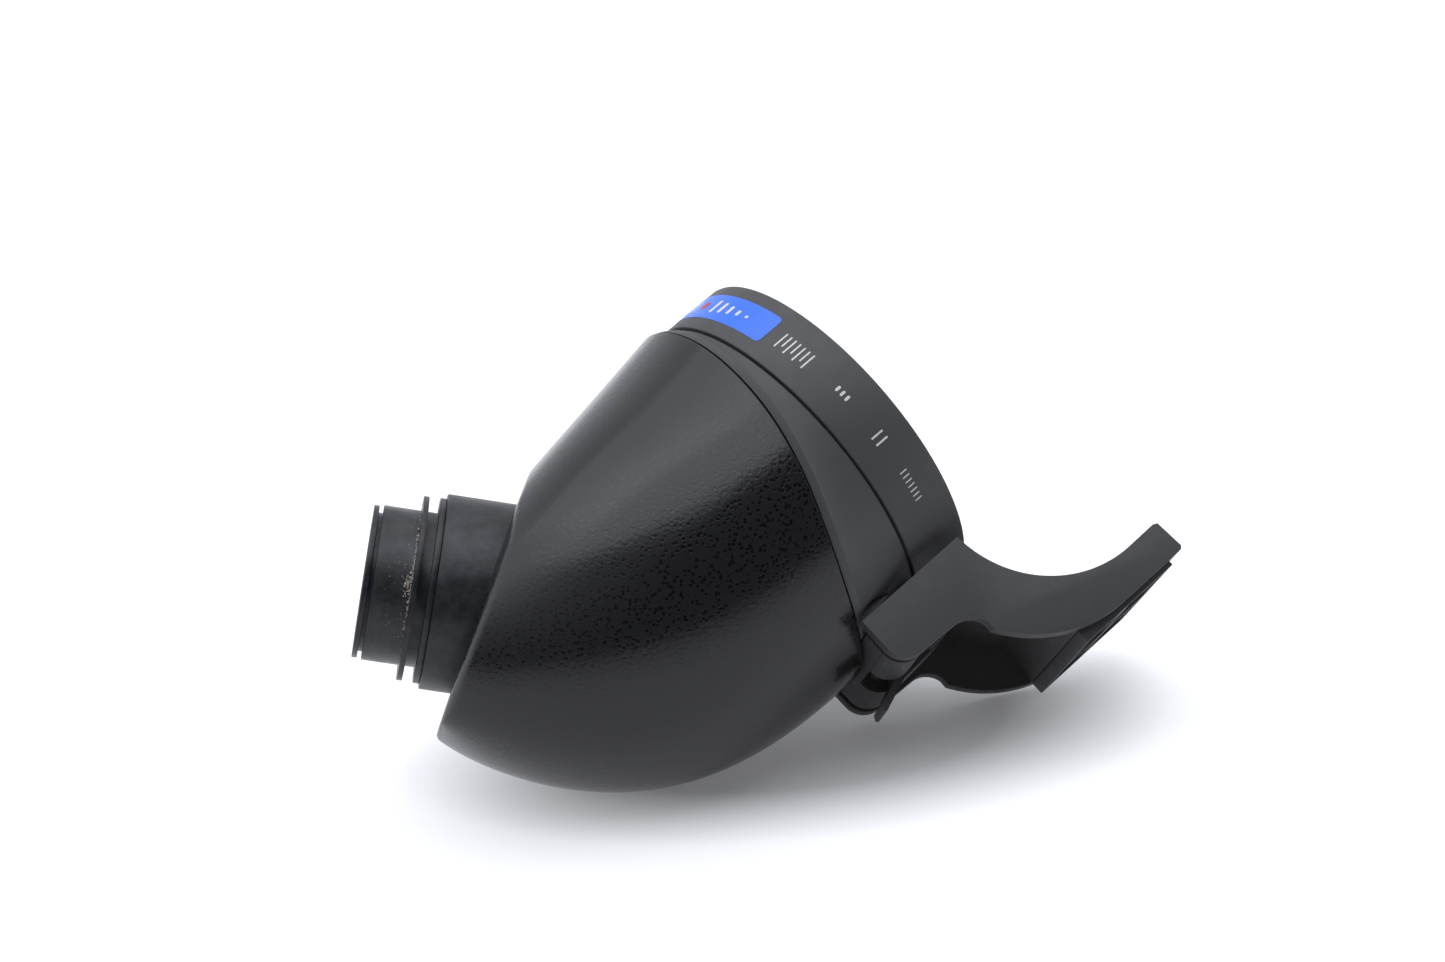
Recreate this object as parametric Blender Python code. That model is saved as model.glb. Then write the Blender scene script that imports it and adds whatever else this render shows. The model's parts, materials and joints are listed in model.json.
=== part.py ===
"""Angled lens-to-scope viewing adapter, lying on its side.

Built in millimetres in the optical frame: the lens mount axis is +X (front face of the ring at x = 0),
+Z is up when the adapter is in use, and Y is across. One empty turns the whole object into its rest pose.
"""

import math

import bmesh
import bpy
from mathutils import Matrix, Vector

MM = 0.001

# Rest pose: table-up direction and table-right direction, in the optical frame
REST_UP = (0.380, -0.635, 0.673)
REST_RIGHT = (0.721, -0.146, -0.677)

# Mount ring
RING_R = 33.0
RING_X = -12.1
RING_CHAMFER = 0.5
RING_BORE = 24.5
RING_SEAT_R = 29.4
RING_SEAT_X = -2.4
SPIGOT_BORE = 30.2
SPIGOT_BORE_X = -9.0
SPIGOT_R = 29.8
SPIGOT_X = -9.3
HOUSING_BORE = 28.0
LABEL_X = (-2.8, -9.2)
LOCK_PIN = (0.0, 26.6, 0.0)
BUTTON_ANGLE = 20.0
BUTTON_X = -6.4

# Body: top line, belly curve and side curve along the mount axis
BODY_X = -12.4
BODY_R = 32.6
TIP_X = -89.4
TIP_Z = 4.8
BELLY_X = -27.0
BELLY_DROP = 40.1
BELLY_POWER = 2.82
BELLY_ROOT = 0.714
TOP_Z = 34.5
TOP_X = -15.0
TOP_SLOPE = 0.165
SIDE_R = 33.6
SIDE_X = -28.0
SIDE_POWER = 2.28
SIDE_ROOT = 0.633
TIP_HALF_WIDTH = 5.0
UPPER_POWER = 0.87
WALL = 2.2

# Slanted eyepiece face: a point on it and its slope below horizontal
FACE_POINT = (-53.0, 26.0)
FACE_SLOPE = math.radians(29.2)

# Split between front housing and rear shell, as (x, z) from top to bottom
SPLIT = (
    (-15.0, 40.0),
    (-15.0, 27.0),
    (-16.0, 16.0),
    (-18.0, 4.0),
    (-20.6, -6.0),
    (-23.8, -16.0),
    (-26.2, -25.0),
    (-27.3, -33.0),
    (-27.6, -42.0),
)
SPLIT_GAP = 0.3

# Eyepiece: crossing point on the mount axis, tilt, and stations along its own axis
EYE_CROSS_X = -52.64
EYE_TILT = math.radians(49.6)
BASE_R = 17.06
BASE_BORE = 14.2
BASE_IN = 16.5
BASE_OUT = 32.4
BARREL_BORE = 11.4
BARREL_IN = 19.0
BARREL_R = 13.5
STEP_R = 15.9
STEP_IN = 32.7
STEP_OUT = 33.5
FLANGE_R = 16.1
FLANGE_IN = 35.45
FLANGE_OUT = 36.4
GROOVE_R = 12.9
GROOVE_IN = 43.1
END_IN = 43.6
END_OUT = 44.63
END_R = 13.3
LENS_R = 11.1

# Support arm
ARM_HALF_WIDTH = 20.0
ARM_WALL = 2.6
ARM_TOP = -30.3
ARM_REAR = -26.9
CRADLE = (18.0, -29.5)
CRADLE_R = 21.8
WEB = 2.2
SOLE_CURVE = (10.5, -33.0)
SOLE_CURVE_R = 24.7
TOE_X = 25.3
TOE_TOP = -51.3
TOE_BOTTOM = -57.7
PLATE_LOW = -41.2
HINGE = (-22.6, -36.6)
KNUCKLE_R = 4.2
KNUCKLE_HALF = 15.9
PLATE_SWING_R = 8.0
PIN_R = 1.6
PIN_HALF = 18.6
COLLAR_R = 2.4
COLLAR_HALF = 3.6
SLOT_HALF = 4.3
PAWL_PIN = (-14.2, -39.0)
PAWL_PIN_R = 0.8
PAWL_HALF = 3.9

GAP = 0.3


def clear_scene():
    for obj in list(bpy.data.objects):
        bpy.data.objects.remove(obj, do_unlink=True)


def material(name, color, metallic, roughness, glass=0.0):
    mat = bpy.data.materials.new(name)
    mat.use_nodes = True
    shader = mat.node_tree.nodes["Principled BSDF"]
    shader.inputs["Base Color"].default_value = (*color, 1.0)
    shader.inputs["Metallic"].default_value = metallic
    shader.inputs["Roughness"].default_value = roughness
    shader.inputs["Transmission Weight"].default_value = glass
    mat.diffuse_color = (*color, 1.0)
    return mat


PALETTE = {
    "paint": ((0.02, 0.02, 0.022), 0.0, 0.35, 0.0),
    "satin": ((0.022, 0.022, 0.025), 0.6, 0.4, 0.0),
    "plastic": ((0.025, 0.025, 0.028), 0.0, 0.5, 0.0),
    "steel": ((0.62, 0.62, 0.63), 1.0, 0.3, 0.0),
    "chrome": ((0.75, 0.75, 0.76), 1.0, 0.15, 0.0),
    "flock": ((0.01, 0.01, 0.01), 0.0, 0.9, 0.0),
    "glass": ((0.9, 0.93, 0.92), 0.0, 0.02, 1.0),
    "rubber": ((0.02, 0.02, 0.02), 0.0, 0.8, 0.0),
    "label": ((0.02, 0.12, 0.62), 0.0, 0.3, 0.0),
}


def new_object(name, bm, finish, frame):
    bmesh.ops.remove_doubles(bm, verts=bm.verts, dist=1e-6)
    bmesh.ops.recalc_face_normals(bm, faces=bm.faces)
    if bm.calc_volume(signed=True) < 0:
        bmesh.ops.reverse_faces(bm, faces=bm.faces)
    mesh = bpy.data.meshes.new(name)
    bm.to_mesh(mesh)
    bm.free()
    mesh.shade_smooth()
    mesh.set_sharp_from_angle(angle=math.radians(32))
    obj = bpy.data.objects.new(name, mesh)
    bpy.context.scene.collection.objects.link(obj)
    if finish:
        mesh.materials.append(material(name + "_mat", *PALETTE[finish]))
    obj.parent = frame
    return obj


def cutter(name, bm, frame):
    obj = new_object(name, bm, None, frame)
    obj.hide_render = True
    obj.display_type = "WIRE"
    return obj


def boolean(obj, other, operation):
    mod = obj.modifiers.new(other.name, "BOOLEAN")
    mod.operation = operation
    mod.solver = "EXACT"
    mod.object = other
    other.hide_render = True
    other.display_type = "WIRE"


def cut(obj, *others):
    for other in others:
        boolean(obj, other, "DIFFERENCE")


def join(obj, *others):
    for other in others:
        boolean(obj, other, "UNION")


def hang_from(obj, point):
    """Moves the object's origin to a point of the optical frame, leaving its shape where it is."""
    shift = Vector(point) * MM
    obj.data.transform(Matrix.Translation(-shift))
    obj.location = shift


def place(bm, matrix):
    bmesh.ops.transform(bm, matrix=matrix, verts=bm.verts)
    return bm


def skin(bm, rings, closed_ends=True):
    """Joins rings of points, each with the same count, into one surface with capped ends."""
    rows = [[bm.verts.new(Vector(p) * MM) for p in ring] for ring in rings]
    count = len(rows[0])
    for a, b in zip(rows, rows[1:]):
        for i in range(count):
            j = (i + 1) % count
            bm.faces.new((a[i], a[j], b[j], b[i]))
    if closed_ends:
        bm.faces.new(rows[0][::-1])
        bm.faces.new(rows[-1])
    else:
        for i in range(count):
            j = (i + 1) % count
            bm.faces.new((rows[-1][i], rows[-1][j], rows[0][j], rows[0][i]))
    return bm


def lathe(profile, segments=64):
    """A closed (along, radius) profile turned about +X. A profile that touches the axis makes a solid."""
    bm = bmesh.new()
    solid = min(r for _, r in profile) <= 0
    turning = [p for p in profile if p[1] > 0]
    rings = []
    for along, radius in turning:
        ring = []
        for i in range(segments):
            angle = 2 * math.pi * i / segments
            ring.append((along, radius * math.cos(angle), radius * math.sin(angle)))
        rings.append(ring)
    return skin(bm, rings, closed_ends=solid)


def tube(start, end, inner, outer, segments=64):
    return lathe(((start, inner), (start, outer), (end, outer), (end, inner)), segments)


def rod(start, end, radius, segments=24):
    return lathe(((start, radius), (end, radius), (end, 0)), segments)


def prism(outline, y0, y1):
    bm = bmesh.new()
    return skin(bm, [[(x, y, z) for x, z in outline] for y in (y0, y1)])


def box(low, high):
    corners = ((low[0], low[2]), (high[0], low[2]), (high[0], high[2]), (low[0], high[2]))
    return prism(corners, low[1], high[1])


def arc(center, radius, start, end, steps):
    """Points along an arc in the x-z plane, angles in degrees from +X towards +Z."""
    points = []
    for i in range(steps + 1):
        angle = math.radians(start + (end - start) * i / steps)
        points.append((center[0] + radius * math.cos(angle), center[1] + radius * math.sin(angle)))
    return points


def across(x, z):
    """Turns +X work so that it runs along +Y through (x, z)."""
    return Matrix.Translation((x * MM, 0, z * MM)) @ Matrix.Rotation(math.radians(90), 4, "Z")


def radial(angle, x):
    """Turns +X work so that it points outwards from the mount axis at an angle and a station."""
    turn = Matrix.Rotation(math.radians(angle), 4, "X")
    lift = Matrix.Rotation(math.radians(90), 4, "Z")
    return Matrix.Translation((x * MM, 0, 0)) @ turn @ lift


def around(angle, radius):
    """Moves +X work out to a radius from the mount axis at an angle."""
    turn = math.radians(angle)
    return Matrix.Translation((0, radius * math.cos(turn) * MM, radius * math.sin(turn) * MM))


def eyepiece_frame():
    """Turns +X work onto the eyepiece axis, measured from its crossing with the mount axis."""
    return Matrix.Translation((EYE_CROSS_X * MM, 0, 0)) @ Matrix.Rotation(EYE_TILT - math.pi, 4, "Y")


def ring_patch(x0, x1, r0, r1, a0, a1, steps):
    """A curved block on the mount axis between two stations, radii and angles."""
    bm = bmesh.new()
    rings = []
    for i in range(steps + 1):
        angle = math.radians(a0 + (a1 - a0) * i / steps)
        out = (math.cos(angle), math.sin(angle))
        corners = ((x0, r0), (x1, r0), (x1, r1), (x0, r1))
        rings.append([(x, r * out[0], r * out[1]) for x, r in corners])
    return skin(bm, rings)


def coil(radius, wire, start, end, turns):
    """A spring about +X, as a swept square wire."""
    bm = bmesh.new()
    rings = []
    steps = turns * 10
    for i in range(steps + 1):
        angle = 2 * math.pi * i / 10
        along = start + (end - start) * i / steps
        out = (math.cos(angle), math.sin(angle))
        ring = []
        for da, dr in ((-1, -1), (1, -1), (1, 1), (-1, 1)):
            r = radius + dr * wire / 2
            ring.append((along + da * wire / 2, r * out[0], r * out[1]))
        rings.append(ring)
    return skin(bm, rings)


def lens(start, end, radius, front_sag, back_sag, segments=32):
    """A lens about +X with domed faces between two stations."""
    profile = [(start, 0.05)] + [(start + front_sag * k * k, radius * k) for k in (0.3, 0.6, 0.85, 1.0)]
    profile += [(end - back_sag * k * k, radius * k) for k in (1.0, 0.85, 0.6, 0.3)]
    profile += [(end, 0.05), (end, 0)]
    return lathe(profile, segments)


# Body shape


def blend(a, b, t):
    t = max(0.0, min(1.0, t))
    return a + (b - a) * t * t * (3 - 2 * t)


def belly(x):
    if x > BELLY_X:
        share = (x - BELLY_X) / (BODY_X - BELLY_X)
        return (TIP_Z - BELLY_DROP) + (BELLY_DROP - TIP_Z - BODY_R) * max(0.0, share) ** 1.5
    s = min(1.0, (BELLY_X - x) / (BELLY_X - TIP_X))
    return TIP_Z - BELLY_DROP * (1 - s**BELLY_POWER) ** BELLY_ROOT


def top(x):
    rise = blend(BODY_R, TOP_Z, (BODY_X - x) / (BODY_X - TOP_X))
    return rise - TOP_SLOPE * max(0.0, TOP_X - x)


def side(x):
    if x > SIDE_X:
        return blend(SIDE_R, BODY_R, (x - SIDE_X) / (BODY_X - SIDE_X))
    s = min(1.0, (SIDE_X - x) / (SIDE_X - TIP_X))
    return TIP_HALF_WIDTH + (SIDE_R - TIP_HALF_WIDTH) * (1 - s**SIDE_POWER) ** SIDE_ROOT


def widest(x):
    return blend(0.0, TIP_Z + 1.0, (-45.0 - x) / (-45.0 - TIP_X))


def section(x, inset, segments):
    mid = widest(x)
    half = side(x) - inset
    up = top(x) - inset - mid
    down = mid - belly(x) - inset
    power = blend(1.0, UPPER_POWER, (-20 - x) / 30)
    ring = []
    for i in range(segments):
        angle = 2 * math.pi * i / segments
        across_share, lift_share = math.cos(angle), math.sin(angle)
        if lift_share > 1e-9:
            across_share = math.copysign(abs(across_share) ** power, across_share)
            ring.append((x, half * across_share, mid + up * lift_share**power))
        else:
            ring.append((x, half * across_share, mid + down * lift_share))
    return ring


def body_loft(stations, inset, segments):
    bm = bmesh.new()
    return skin(bm, [section(x, inset, segments) for x in stations])


def body_stations(front, rear, count):
    """Stations that close up towards the tip."""
    return [front + (rear - front) * math.sin(math.pi / 2 * i / count) for i in range(count + 1)]


def above_face(drop):
    """A block above the slanted face, lowered by a wall thickness."""
    matrix = Matrix.Translation((FACE_POINT[0] * MM, 0, FACE_POINT[1] * MM)) @ Matrix.Rotation(-FACE_SLOPE, 4, "Y")
    return place(box((-80, -60, -drop), (80, 60, 60)), matrix)


def split_block(towards, shift):
    """Everything on one side of the split line between housing and shell."""
    far = 60 * towards
    line = [(x + shift, z) for x, z in SPLIT]
    return prism(line + [(far + shift - 30, SPLIT[-1][1]), (far + shift - 30, SPLIT[0][1])], -60, 60)


def build_ring(frame):
    ring = new_object(
        "mount_ring",
        lathe(
            (
                (RING_SEAT_X, RING_BORE),
                (RING_SEAT_X, RING_SEAT_R),
                (0, RING_SEAT_R),
                (0, RING_R - RING_CHAMFER),
                (-RING_CHAMFER, RING_R),
                (RING_X + RING_CHAMFER / 2, RING_R),
                (RING_X, RING_R - RING_CHAMFER / 2),
                (RING_X, SPIGOT_BORE),
                (SPIGOT_BORE_X, SPIGOT_BORE),
                (SPIGOT_BORE_X, RING_BORE),
            ),
            72,
        ),
        "satin",
        frame,
    )
    return ring


def build_label(frame, ring):
    first, last = 75.4, 150.2
    pocket = ring_patch(LABEL_X[0] + GAP, LABEL_X[1] - GAP, RING_R - 0.65, RING_R + 1, first, last, 18)
    cut(ring, cutter("label_pocket", pocket, frame))
    edge = 0.6
    label = ring_patch(*LABEL_X, RING_R - 0.4, RING_R + 0.04, first + edge, last - edge, 18)
    new_object("ring_label", label, "label", frame)


def build_bayonet(frame, ring):
    plate_front, plate_back, plate_r = 0.35, -2.1, 29.1
    neck_in, neck_out, neck_back = 23.0, 24.2, -4.4
    plate = new_object(
        "bayonet_plate",
        lathe(
            (
                (neck_back, neck_in),
                (plate_front, neck_in),
                (plate_front, plate_r),
                (plate_back, plate_r),
                (plate_back, neck_out),
                (neck_back, neck_out),
            ),
            72,
        ),
        "chrome",
        frame,
    )
    for i in range(3):
        lug = ring_patch(neck_back + 0.3, -2.6, 21.3, 23.6, 120 * i - 26.3, 120 * i + 26.3, 8)
        join(plate, cutter(f"lug_{i + 1}", lug, frame))
    for i in range(4):
        spot = around(48.7 + 90 * i, 26.6)
        hole = place(rod(-8.3, 1.3, 1.15, 14), spot)
        sink = place(rod(-1.3, 1.6, 1.8, 18), spot)
        cut(plate, cutter(f"mount_hole_{i + 1}", hole, frame), cutter(f"mount_sink_{i + 1}", sink, frame))
        cut(ring, bpy.data.objects[f"mount_hole_{i + 1}"])
        screw = lathe(((-7.6, 0.8), (-1.0, 0.8), (-1.0, 1.5), (-0.45, 1.5), (-0.25, 1.1), (-0.25, 0)), 16)
        screw = new_object(f"mount_screw_{i + 1}", place(screw, spot), "steel", frame)
        slot = place(box((-0.6, -0.25, -2), (0.5, 0.25, 2)), spot)
        cut(screw, cutter(f"screw_slot_{i + 1}", slot, frame))
    pin_spot = around(0, LOCK_PIN[1])
    pocket = place(rod(-8.5, 1.0, 1.7, 16), pin_spot)
    cut(plate, cutter("pin_pocket", pocket, frame))
    cut(ring, bpy.data.objects["pin_pocket"])
    pin = lathe(((-4.6, 1.35), (1.2, 1.35), (1.6, 0.95), (1.6, 0)), 20)
    hang_from(new_object("lock_pin", place(pin, pin_spot), "steel", frame), LOCK_PIN)
    new_object("lock_spring", place(coil(1.1, 0.3, -8.0, -5.1, 3), pin_spot), "steel", frame)
    well = place(rod(26.3, 36.0, 3.0, 24), radial(BUTTON_ANGLE, BUTTON_X))
    cut(ring, cutter("button_well", well, frame))
    button = lathe(((28.3, 2.6), (33.6, 2.6), (34.0, 2.3), (34.2, 1.6), (34.2, 0)), 24)
    button = new_object("release_button", place(button, radial(BUTTON_ANGLE, BUTTON_X)), "plastic", frame)
    out = math.radians(BUTTON_ANGLE)
    hang_from(button, (BUTTON_X, RING_R * math.cos(out), RING_R * math.sin(out)))


def build_body(frame):
    front = body_stations(BODY_X, -40.0, 10)
    housing = new_object("front_housing", body_loft(front, 0.0, 64), "paint", frame)
    cut(housing, cutter("behind_split", split_block(-1, SPLIT_GAP / 2), frame))
    cut(housing, cutter("housing_bore", rod(BODY_X + 5, -60, HOUSING_BORE, 64), frame))
    spigot = tube(SPIGOT_X, BODY_X - 3.0, HOUSING_BORE, SPIGOT_R, 64)
    join(housing, cutter("housing_spigot", spigot, frame))
    pad = box((-40, -16.8, -60), (BODY_X + 0.05, 16.8, -31.9))
    cut(housing, cutter("hinge_pad", pad, frame))
    for side_name, y in (("near", -21.0), ("far", 16.7)):
        notch = box((-40, y, -60), (BODY_X + 0.05, y + 4.3, -30.1))
        swing = place(rod(y, y + 4.3, PLATE_SWING_R, 48), across(*HINGE))
        cut(housing, cutter(f"plate_notch_{side_name}", notch, frame))
        cut(housing, cutter(f"plate_swing_{side_name}", swing, frame))

    stations = body_stations(-13.0, TIP_X, 26)
    shell = new_object("rear_shell", body_loft(stations, 0.0, 64), "paint", frame)
    inner = cutter("shell_inside", body_loft(body_stations(-11.3, TIP_X + 4.7, 15), WALL, 52), frame)
    cut(inner, cutter("inside_face", above_face(WALL), frame))
    cut(shell, cutter("face_plane", above_face(0.0), frame))
    cut(shell, inner)
    cut(shell, cutter("ahead_of_split", split_block(1, -SPLIT_GAP / 2), frame))
    bore = place(rod(5, 60, BASE_R + GAP, 64), eyepiece_frame())
    cut(shell, cutter("eyepiece_hole", bore, frame))


def build_inside(frame):
    new_object("light_baffle", tube(-10.6, -11.6, 15.0, 27.6, 48), "flock", frame)
    carrier = new_object("prism_frame", tube(-13.2, -15.2, 12.4, 27.5, 48), "plastic", frame)
    for side_name, y in (("near", -15.4), ("far", 13.6)):
        cheek = box((-60, y, -9), (-14, y + 1.8, 9))
        join(carrier, cutter(f"cheek_{side_name}", cheek, frame))
    for i in range(3):
        spot = around(92 + 120 * i, 24.0)
        cut(carrier, cutter(f"frame_hole_{i + 1}", place(rod(-17, -12, 1.3, 12), spot), frame))
        screw = lathe(((-20.0, 1.0), (-12.6, 1.0), (-12.6, 2.0), (-11.9, 2.0), (-11.9, 0)), 16)
        new_object(f"frame_screw_{i + 1}", place(screw, spot), "steel", frame)
    new_object("relay_cell", tube(-13.6, -29.0, 9.8, 12.1, 40), "satin", frame)
    new_object("relay_lens_front", lens(-18.5, -14.5, 9.5, 1.0, 1.0), "glass", frame)
    new_object("relay_spacer", tube(-18.9, -23.2, 8.4, 9.5, 32), "satin", frame)
    new_object("relay_lens_rear", lens(-27.6, -23.6, 9.5, 1.0, 1.0), "glass", frame)
    build_prism(frame)


def build_prism(frame):
    exit_mid = 14.0
    half = 12.0
    cos_t, sin_t = math.cos(EYE_TILT), math.sin(EYE_TILT)
    mid = (EYE_CROSS_X - exit_mid * cos_t, exit_mid * sin_t)
    upper = (mid[0] + half * sin_t, mid[1] + half * cos_t)
    lower = (mid[0] - half * sin_t, mid[1] - half * cos_t)
    roof = 5.0
    rows = []
    for y, drop in ((-13.2, 0.0), (0.0, roof), (13.2, 0.0)):
        outline = ((-31.5, 13.0), (-31.5, -13.0 - drop), (-62.0, -14.0 - drop), lower, upper)
        rows.append([(x, y, z) for x, z in outline])
    new_object("roof_prism", skin(bmesh.new(), rows), "glass", frame)
    strap = prism(((-38, 15.1), (-48, 17.7), (-48.4, 18.9), (-38, 16.3)), -15.2, 15.2)
    strap = new_object("prism_clamp", strap, "steel", frame)
    for side_name, y in (("near", -15.2), ("far", 14.0)):
        leg = box((-44, y, 9.4), (-41, y + 1.2, 16.9))
        join(strap, cutter(f"clamp_leg_{side_name}", leg, frame))


def build_eyepiece(frame):
    eye = eyepiece_frame()
    new_object("eyepiece_base", place(tube(BASE_IN, BASE_OUT, BASE_BORE, BASE_R, 64), eye), "satin", frame)
    barrel = (
        (BARREL_IN, BARREL_BORE),
        (BARREL_IN, BARREL_R + 0.3),
        (STEP_IN, BARREL_R + 0.3),
        (STEP_IN, STEP_R),
        (STEP_OUT, STEP_R),
        (STEP_OUT, BARREL_R),
        (FLANGE_IN, BARREL_R),
        (FLANGE_IN, FLANGE_R),
        (FLANGE_OUT, FLANGE_R),
        (FLANGE_OUT, BARREL_R),
        (GROOVE_IN, BARREL_R),
        (GROOVE_IN, GROOVE_R),
        (END_IN, GROOVE_R),
        (END_IN, END_R),
        (END_OUT, END_R),
        (END_OUT, BARREL_BORE),
    )
    new_object("eyepiece_barrel", place(lathe(barrel, 64), eye), "satin", frame)
    new_object("field_stop", place(tube(19.6, 20.8, 7.5, LENS_R, 32), eye), "flock", frame)
    new_object("eye_lens_field", place(lens(21.2, 25.6, LENS_R, 1.2, 0.4), eye), "glass", frame)
    new_object("eye_spacer_inner", place(tube(25.9, 30.2, 9.8, LENS_R, 32), eye), "satin", frame)
    new_object("eye_lens_middle", place(lens(30.6, 35.0, LENS_R, 0.8, 1.2), eye), "glass", frame)
    new_object("eye_spacer_outer", place(tube(35.4, 38.0, 9.8, LENS_R, 32), eye), "satin", frame)
    new_object("eye_lens_outer", place(lens(38.4, 42.4, LENS_R, 1.2, 0.5), eye), "glass", frame)
    new_object("eye_retainer", place(tube(42.8, 44.1, 9.6, LENS_R, 32), eye), "satin", frame)


def arm_outline():
    toe = [(TOE_X - 1.2, TOE_TOP + 0.05), (TOE_X - 0.4, TOE_TOP - 0.4), (TOE_X, TOE_BOTTOM + 0.4), (TOE_X - 0.4, TOE_BOTTOM)]
    cradle = arc(CRADLE, CRADLE_R, 182, 270, 16)
    sole = arc(SOLE_CURVE, SOLE_CURVE_R, 270, 212, 12)
    heel_turn = arc((-14.6, -45.5), 4.3, 12, 88, 5)
    heel = arc(HINGE, KNUCKLE_R + 0.1, 270, 180, 6)
    return [(ARM_REAR, ARM_TOP), (-3.9, ARM_TOP)] + cradle + toe + sole + heel_turn + heel


def build_arm(frame):
    inner = ARM_HALF_WIDTH - ARM_WALL
    arm = new_object("support_arm", prism(arm_outline(), -ARM_HALF_WIDTH, ARM_HALF_WIDTH), "plastic", frame)
    under_web = CRADLE_R + WEB
    bay = arc(CRADLE, under_web, 175, 226, 10)
    bay_outline = [(-60, -70), (-60, -25)] + bay + [(bay[-1][0], -70)]
    cut(arm, cutter("hinge_bay", prism(bay_outline, -inner, inner), frame))
    cut(arm, cutter("ring_clearance", box((-10, -inner, -34.6), (12, inner, -25)), frame))
    compartments = ((229, 253), (256, 270))
    for number, (start, end) in enumerate(compartments):
        roof = arc(CRADLE, under_web, start, end, 6)
        if end == 270:
            roof.append((TOE_X - 2.2, CRADLE[1] - under_web))
        outline = [(roof[0][0], -70)] + roof + [(roof[-1][0], -70)]
        for side_name, y0, y1 in (("near", -inner, -0.8), ("far", 0.8, inner)):
            cut(arm, cutter(f"pocket_{number}_{side_name}", prism(outline, y0, y1), frame))
    seat = box((bay[-1][0] - 0.1, -inner, -60), (TOE_X - 2.1, inner, TOE_BOTTOM + 1.6))
    cut(arm, cutter("foot_seat", seat, frame))
    socket = place(rod(-PIN_HALF - GAP, PIN_HALF + GAP, PIN_R + GAP, 24), across(*HINGE))
    cut(arm, cutter("pin_socket", socket, frame))
    foot_low = TOE_BOTTOM - 0.9
    foot = box((bay[-1][0], -inner + GAP, foot_low), (TOE_X - 2.5, inner - GAP, foot_low + 2.0))
    foot = new_object("foot_plate", foot, "rubber", frame)
    for moving in (arm, foot):
        hang_from(moving, (HINGE[0], 0, HINGE[1]))


def build_hinge(frame):
    bracket = new_object("hinge_bracket", box((-26.75, -KNUCKLE_HALF, -36.95), (-12.9, KNUCKLE_HALF, -32.2)), "plastic", frame)
    knuckle = place(rod(-KNUCKLE_HALF, KNUCKLE_HALF, KNUCKLE_R, 32), across(*HINGE))
    join(bracket, cutter("knuckle", knuckle, frame))
    lugs = prism(((-16.4, -36), (-16.4, -40.6), (-12.9, -40.6), (-12.9, -36)), -7.0, 7.0)
    join(bracket, cutter("pawl_lugs", lugs, frame))
    cut(bracket, cutter("pawl_slot", box((-40, -SLOT_HALF, -50), (0, SLOT_HALF, -36.2)), frame))
    collar_room = place(rod(-SLOT_HALF, SLOT_HALF, COLLAR_R + 0.4, 32), across(*HINGE))
    cut(bracket, cutter("collar_room", collar_room, frame))
    cut(bracket, cutter("pin_bore", place(rod(-30, 30, PIN_R + GAP, 24), across(*HINGE)), frame))
    pawl_bore = place(rod(-30, 30, PAWL_PIN_R + GAP, 16), across(*PAWL_PIN))
    cut(bracket, cutter("pawl_pin_bore", pawl_bore, frame))
    upright = Matrix.Translation((-18.2 * MM, 0, 0)) @ Matrix.Rotation(math.radians(-90), 4, "Y")
    cut(bracket, cutter("spring_well", place(rod(-41, -34.5, 1.9, 16), upright), frame))

    pin = (
        (-PIN_HALF, PIN_R),
        (-COLLAR_HALF, PIN_R),
        (-COLLAR_HALF, COLLAR_R),
        (COLLAR_HALF, COLLAR_R),
        (COLLAR_HALF, PIN_R),
        (PIN_HALF, PIN_R),
        (PIN_HALF, 0),
    )
    hinge_pin = new_object("hinge_pin", place(lathe(pin, 24), across(*HINGE)), "steel", frame)
    hang_from(hinge_pin, (HINGE[0], 0, HINGE[1]))

    pawl_outline = (
        (-12.6, -38.9),
        (-15.6, -39.5),
        (-21.6, -39.7),
        (-21.9, -39.3),
        (-23.1, -39.3),
        (-23.6, -40.1),
        (-29.2, -42.1),
        (-29.8, -43.1),
        (-29.3, -43.5),
        (-23.0, -41.3),
        (-13.4, -40.7),
        (-12.6, -40.3),
    )
    pawl = new_object("arm_pawl", prism(pawl_outline, -PAWL_HALF, PAWL_HALF), "plastic", frame)
    eye = place(rod(-PAWL_HALF, PAWL_HALF, 1.7, 20), across(*PAWL_PIN))
    join(pawl, cutter("pawl_eye", eye, frame))
    cut(pawl, bpy.data.objects["pawl_pin_bore"])
    hang_from(pawl, (PAWL_PIN[0], 0, PAWL_PIN[1]))
    new_object("pawl_pin", place(rod(-6.8, 6.8, PAWL_PIN_R, 16), across(*PAWL_PIN)), "steel", frame)
    new_object("pawl_spring", place(coil(1.1, 0.3, -39.1, -35.5, 4), upright), "steel", frame)


def rest_matrix():
    up = Vector(REST_UP).normalized()
    right = Vector(REST_RIGHT)
    right = (right - up * right.dot(up)).normalized()
    back = up.cross(right)
    return Matrix((right, back, up)).to_4x4()


def settle(frame):
    """Stands the object on z = 0 with its bounding box centred over the origin."""
    bpy.context.view_layer.update()
    graph = bpy.context.evaluated_depsgraph_get()
    points = []
    for obj in frame.children:
        if not obj.hide_render:
            solid = obj.evaluated_get(graph)
            points += [solid.matrix_world @ vertex.co for vertex in solid.data.vertices]
    low = [min(p[axis] for p in points) for axis in range(3)]
    high = [max(p[axis] for p in points) for axis in range(3)]
    frame.location = (-(low[0] + high[0]) / 2, -(low[1] + high[1]) / 2, -low[2])
    bpy.context.view_layer.update()


def main():
    clear_scene()
    frame = bpy.data.objects.new("rest_frame", None)
    bpy.context.scene.collection.objects.link(frame)
    ring = build_ring(frame)
    build_bayonet(frame, ring)
    build_label(frame, ring)
    build_body(frame)
    build_inside(frame)
    build_eyepiece(frame)
    build_arm(frame)
    build_hinge(frame)
    frame.matrix_world = rest_matrix()
    settle(frame)


main()
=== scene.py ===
"""Visual model of the angled lens-to-scope viewing adapter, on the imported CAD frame."""

import json
import math
import random

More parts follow.
